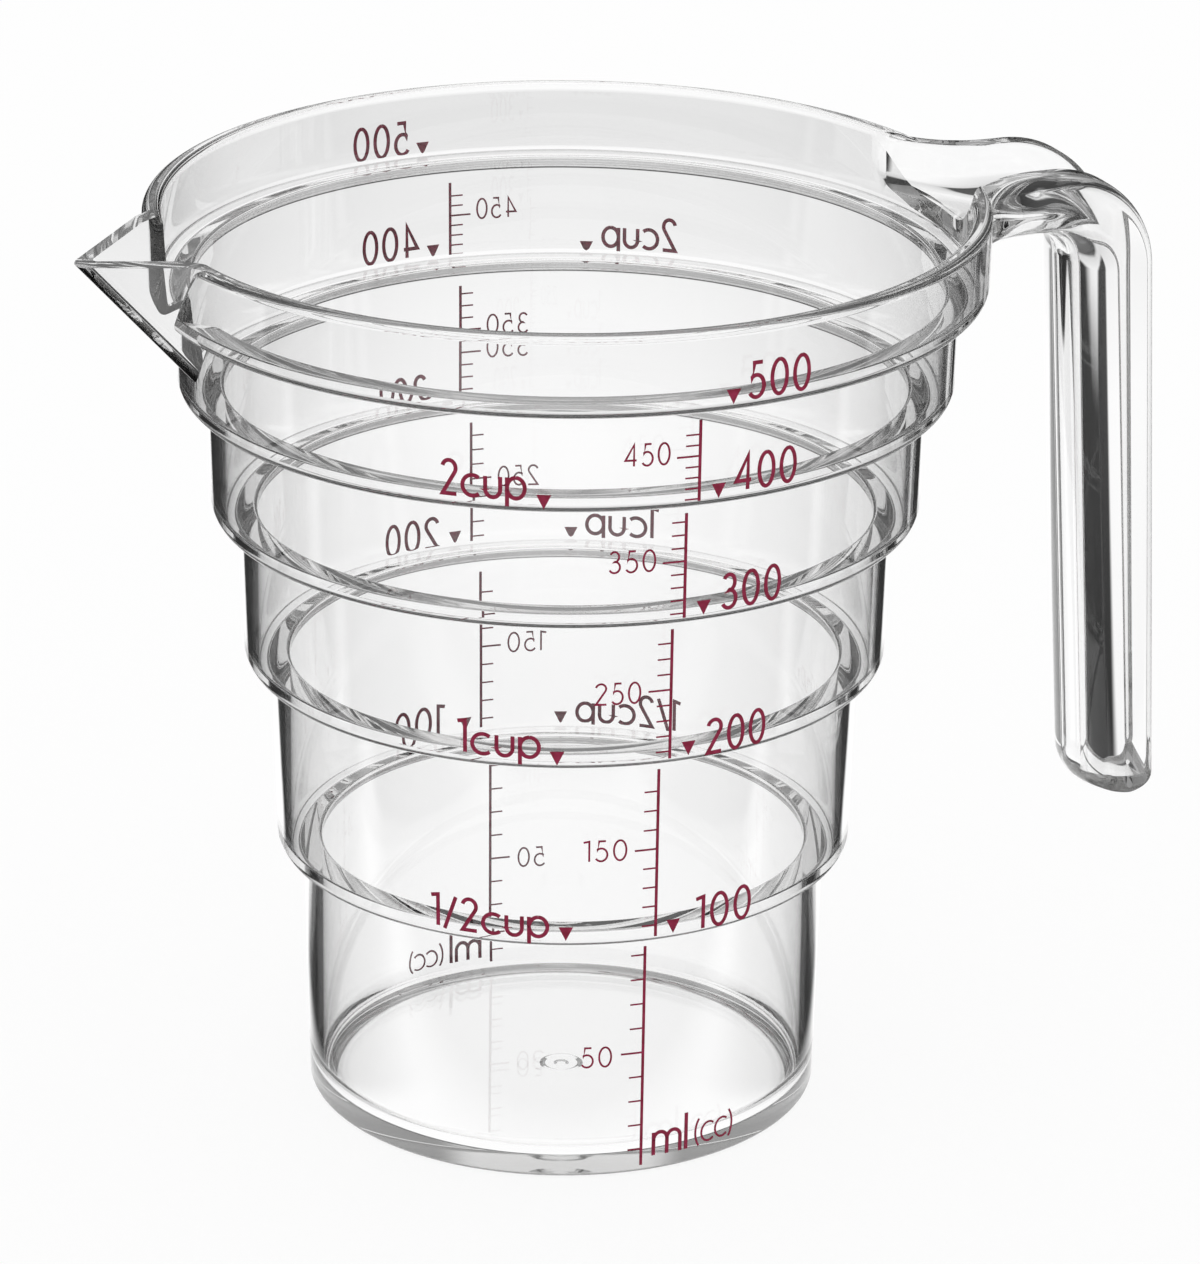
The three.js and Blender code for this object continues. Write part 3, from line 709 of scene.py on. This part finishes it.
# Painted shade: the front of the table a little grey, with a dark band close in front of the cup.
painted_front_shade = add_node(tree, "ShaderNodeValToRGB", links={"Fac": front_share.outputs["Result"]})
stops = painted_front_shade.color_ramp.elements
stops[0].color = linear("ececec")
stops[1].position = 0.88
stops[1].color = linear("ffffff")
stops.new(0.82).color = linear("484848")
back_share = add_node(tree, "ShaderNodeMapRange", {"From Min": 0.0, "From Max": BACK_REACH},
                      {"Value": split.outputs["Y"]})
# Painted shade: the table stays white just behind the cup and goes dark far away.
painted_far_shade = add_node(tree, "ShaderNodeValToRGB", links={"Fac": back_share.outputs["Result"]})
stops = painted_far_shade.color_ramp.elements
stops[0].position = 0.36
stops[0].color = linear("ffffff")
stops[1].color = linear("383838")
stops.new(0.5).color = linear("eeeeee")
stops.new(0.8).color = linear("d8d8d8")
near_and_far = add_node(tree, "ShaderNodeMath", {"operation": "MULTIPLY"},
                        {0: painted_front_shade.outputs["Color"], 1: painted_far_shade.outputs["Color"]})
table = add_node(tree, "ShaderNodeMath", {"operation": "MULTIPLY"},
                 {0: near_and_far.outputs[0], 1: painted_card_darkening.outputs["Result"]})
table_light = add_node(tree, "ShaderNodeMath", {"operation": "MULTIPLY", 1: SHEET_LIGHT},
                       {0: table.outputs[0]})
# Rays that have met the ink or the paper see plain white, so the print is lit evenly.
resin_ray = add_node(tree, "ShaderNodeMath", {"operation": "MAXIMUM"},
                     {0: path.outputs["Is Glossy Ray"], 1: path.outputs["Is Transmission Ray"]})
seen = add_node(tree, "ShaderNodeMath", {"operation": "SUBTRACT", "use_clamp": True},
                {0: resin_ray.outputs[0], 1: path.outputs["Diffuse Depth"]})
matt = add_node(tree, "ShaderNodeBsdfDiffuse", {"Color": linear("f6f6f6")})
white = add_node(tree, "ShaderNodeEmission", {"Color": linear("ffffff"), "Strength": 1.0})
# Painted reflections: to rays from the resin, the sheet glows with the painted card shapes and bands of
# shade.
painted_reflection_glow = add_node(tree, "ShaderNodeEmission", {"Color": linear("ffffff")},
                 {"Strength": table_light.outputs[0]})
bright = add_node(tree, "ShaderNodeMath", {"operation": "MULTIPLY", 1: SHEET_WHITE},
                  {0: path.outputs["Is Camera Ray"]})
plain = add_node(tree, "ShaderNodeMixShader", links={
    0: bright.outputs[0], 1: matt.outputs[0], 2: white.outputs[0]})
mix = add_node(tree, "ShaderNodeMixShader", links={
    0: seen.outputs[0], 1: plain.outputs[0], 2: painted_reflection_glow.outputs[0]})
add_node(tree, "ShaderNodeOutputMaterial", links={"Surface": mix.outputs[0]})
floor.data.materials.append(sheet)

# The studio: plain, even, white light on every surface. The resin alone sees painted surroundings, which give
# it painted reflections: dim all round, and behind the cup a bright painted backdrop that is dark along its
# foot, which draws the edges of the ledges.
SCREEN_NARROWING = 2.2
SCREEN_SOFT = 0.35
world = bpy.data.worlds.new("studio")
bpy.context.scene.world = world
world.use_nodes = True
tree = world.node_tree
tree.nodes.clear()
path = add_node(tree, "ShaderNodeLightPath")
resin_ray = add_node(tree, "ShaderNodeMath", {"operation": "MAXIMUM"},
                     {0: path.outputs["Is Glossy Ray"], 1: path.outputs["Is Transmission Ray"]})
seen = add_node(tree, "ShaderNodeMath", {"operation": "SUBTRACT", "use_clamp": True},
                {0: resin_ray.outputs[0], 1: path.outputs["Diffuse Depth"]})
place = add_node(tree, "ShaderNodeTexCoord")
turned = add_node(tree, "ShaderNodeMapping", {"Rotation": (0, 0, VIEW_TURN)},
                  {"Vector": place.outputs["Generated"]})
split = add_node(tree, "ShaderNodeSeparateXYZ", links={"Vector": turned.outputs["Vector"]})
aside = add_node(tree, "ShaderNodeMath", {"operation": "ABSOLUTE"}, {0: split.outputs["X"]})
ahead = add_node(tree, "ShaderNodeMath", {"operation": "MULTIPLY_ADD", 1: -SCREEN_NARROWING},
                 {0: aside.outputs[0], 2: split.outputs["Y"]})
behind = add_node(tree, "ShaderNodeMapRange", {
    "interpolation_type": "SMOOTHSTEP", "From Min": 0.0, "From Max": SCREEN_SOFT,
}, {"Value": ahead.outputs[0]})
# Painted reflections: dim surroundings, and a bright backdrop with a dark foot, shown only to rays from the
# resin.
painted_walls = add_node(tree, "ShaderNodeValToRGB", links={"Fac": split.outputs["Z"]})
painted_walls.color_ramp.elements[0].color = linear("848484")
painted_walls.color_ramp.elements[1].color = linear("b8b8b8")
painted_screen = add_node(tree, "ShaderNodeValToRGB", links={"Fac": split.outputs["Z"]})
painted_screen.color_ramp.elements[0].position = 0.2
painted_screen.color_ramp.elements[0].color = linear("101010")
painted_screen.color_ramp.elements[1].position = 0.34
painted_screen.color_ramp.elements[1].color = linear("f0f0f0")
painted_room = add_node(tree, "ShaderNodeMixRGB", links={
    "Fac": behind.outputs["Result"], "Color1": painted_walls.outputs["Color"], "Color2": painted_screen.outputs["Color"]})
look = add_node(tree, "ShaderNodeBackground", {"Strength": 1.0}, {"Color": painted_room.outputs["Color"]})
light = add_node(tree, "ShaderNodeBackground", {"Color": linear("ffffff"), "Strength": 1.0})
mix = add_node(tree, "ShaderNodeMixShader", links={
    0: seen.outputs[0], 1: light.outputs[0], 2: look.outputs[0]})
add_node(tree, "ShaderNodeOutputWorld", links={"Surface": mix.outputs[0]})

# The camera: a long lens that looks down at the cup from the front left. Its place, turn and lens
# were fitted to the circles of the base, the ledges and the rim. The bounces are many because a
# ray passes wall after wall before it leaves the clear cup.
LENS = 176.98
SENSOR_WIDTH = 36.0
CAMERA_PLACE = (-247.84, -666.42, 346.31)
CAMERA_TURN = (68.2095, -0.5339, -20.5584)
camera_data = bpy.data.cameras.new("camera")
camera_data.sensor_fit = "HORIZONTAL"
camera_data.sensor_width = SENSOR_WIDTH
camera_data.lens = LENS
camera = bpy.data.objects.new("camera", camera_data)
camera.location = Vector(CAMERA_PLACE) * MM
camera.rotation_euler = [math.radians(angle) for angle in CAMERA_TURN]
bpy.context.collection.objects.link(camera)
scene = bpy.context.scene
scene.camera = camera
scene.view_settings.view_transform = "Standard"
scene.cycles.max_bounces = 48
scene.cycles.glossy_bounces = 32
scene.cycles.transmission_bounces = 48
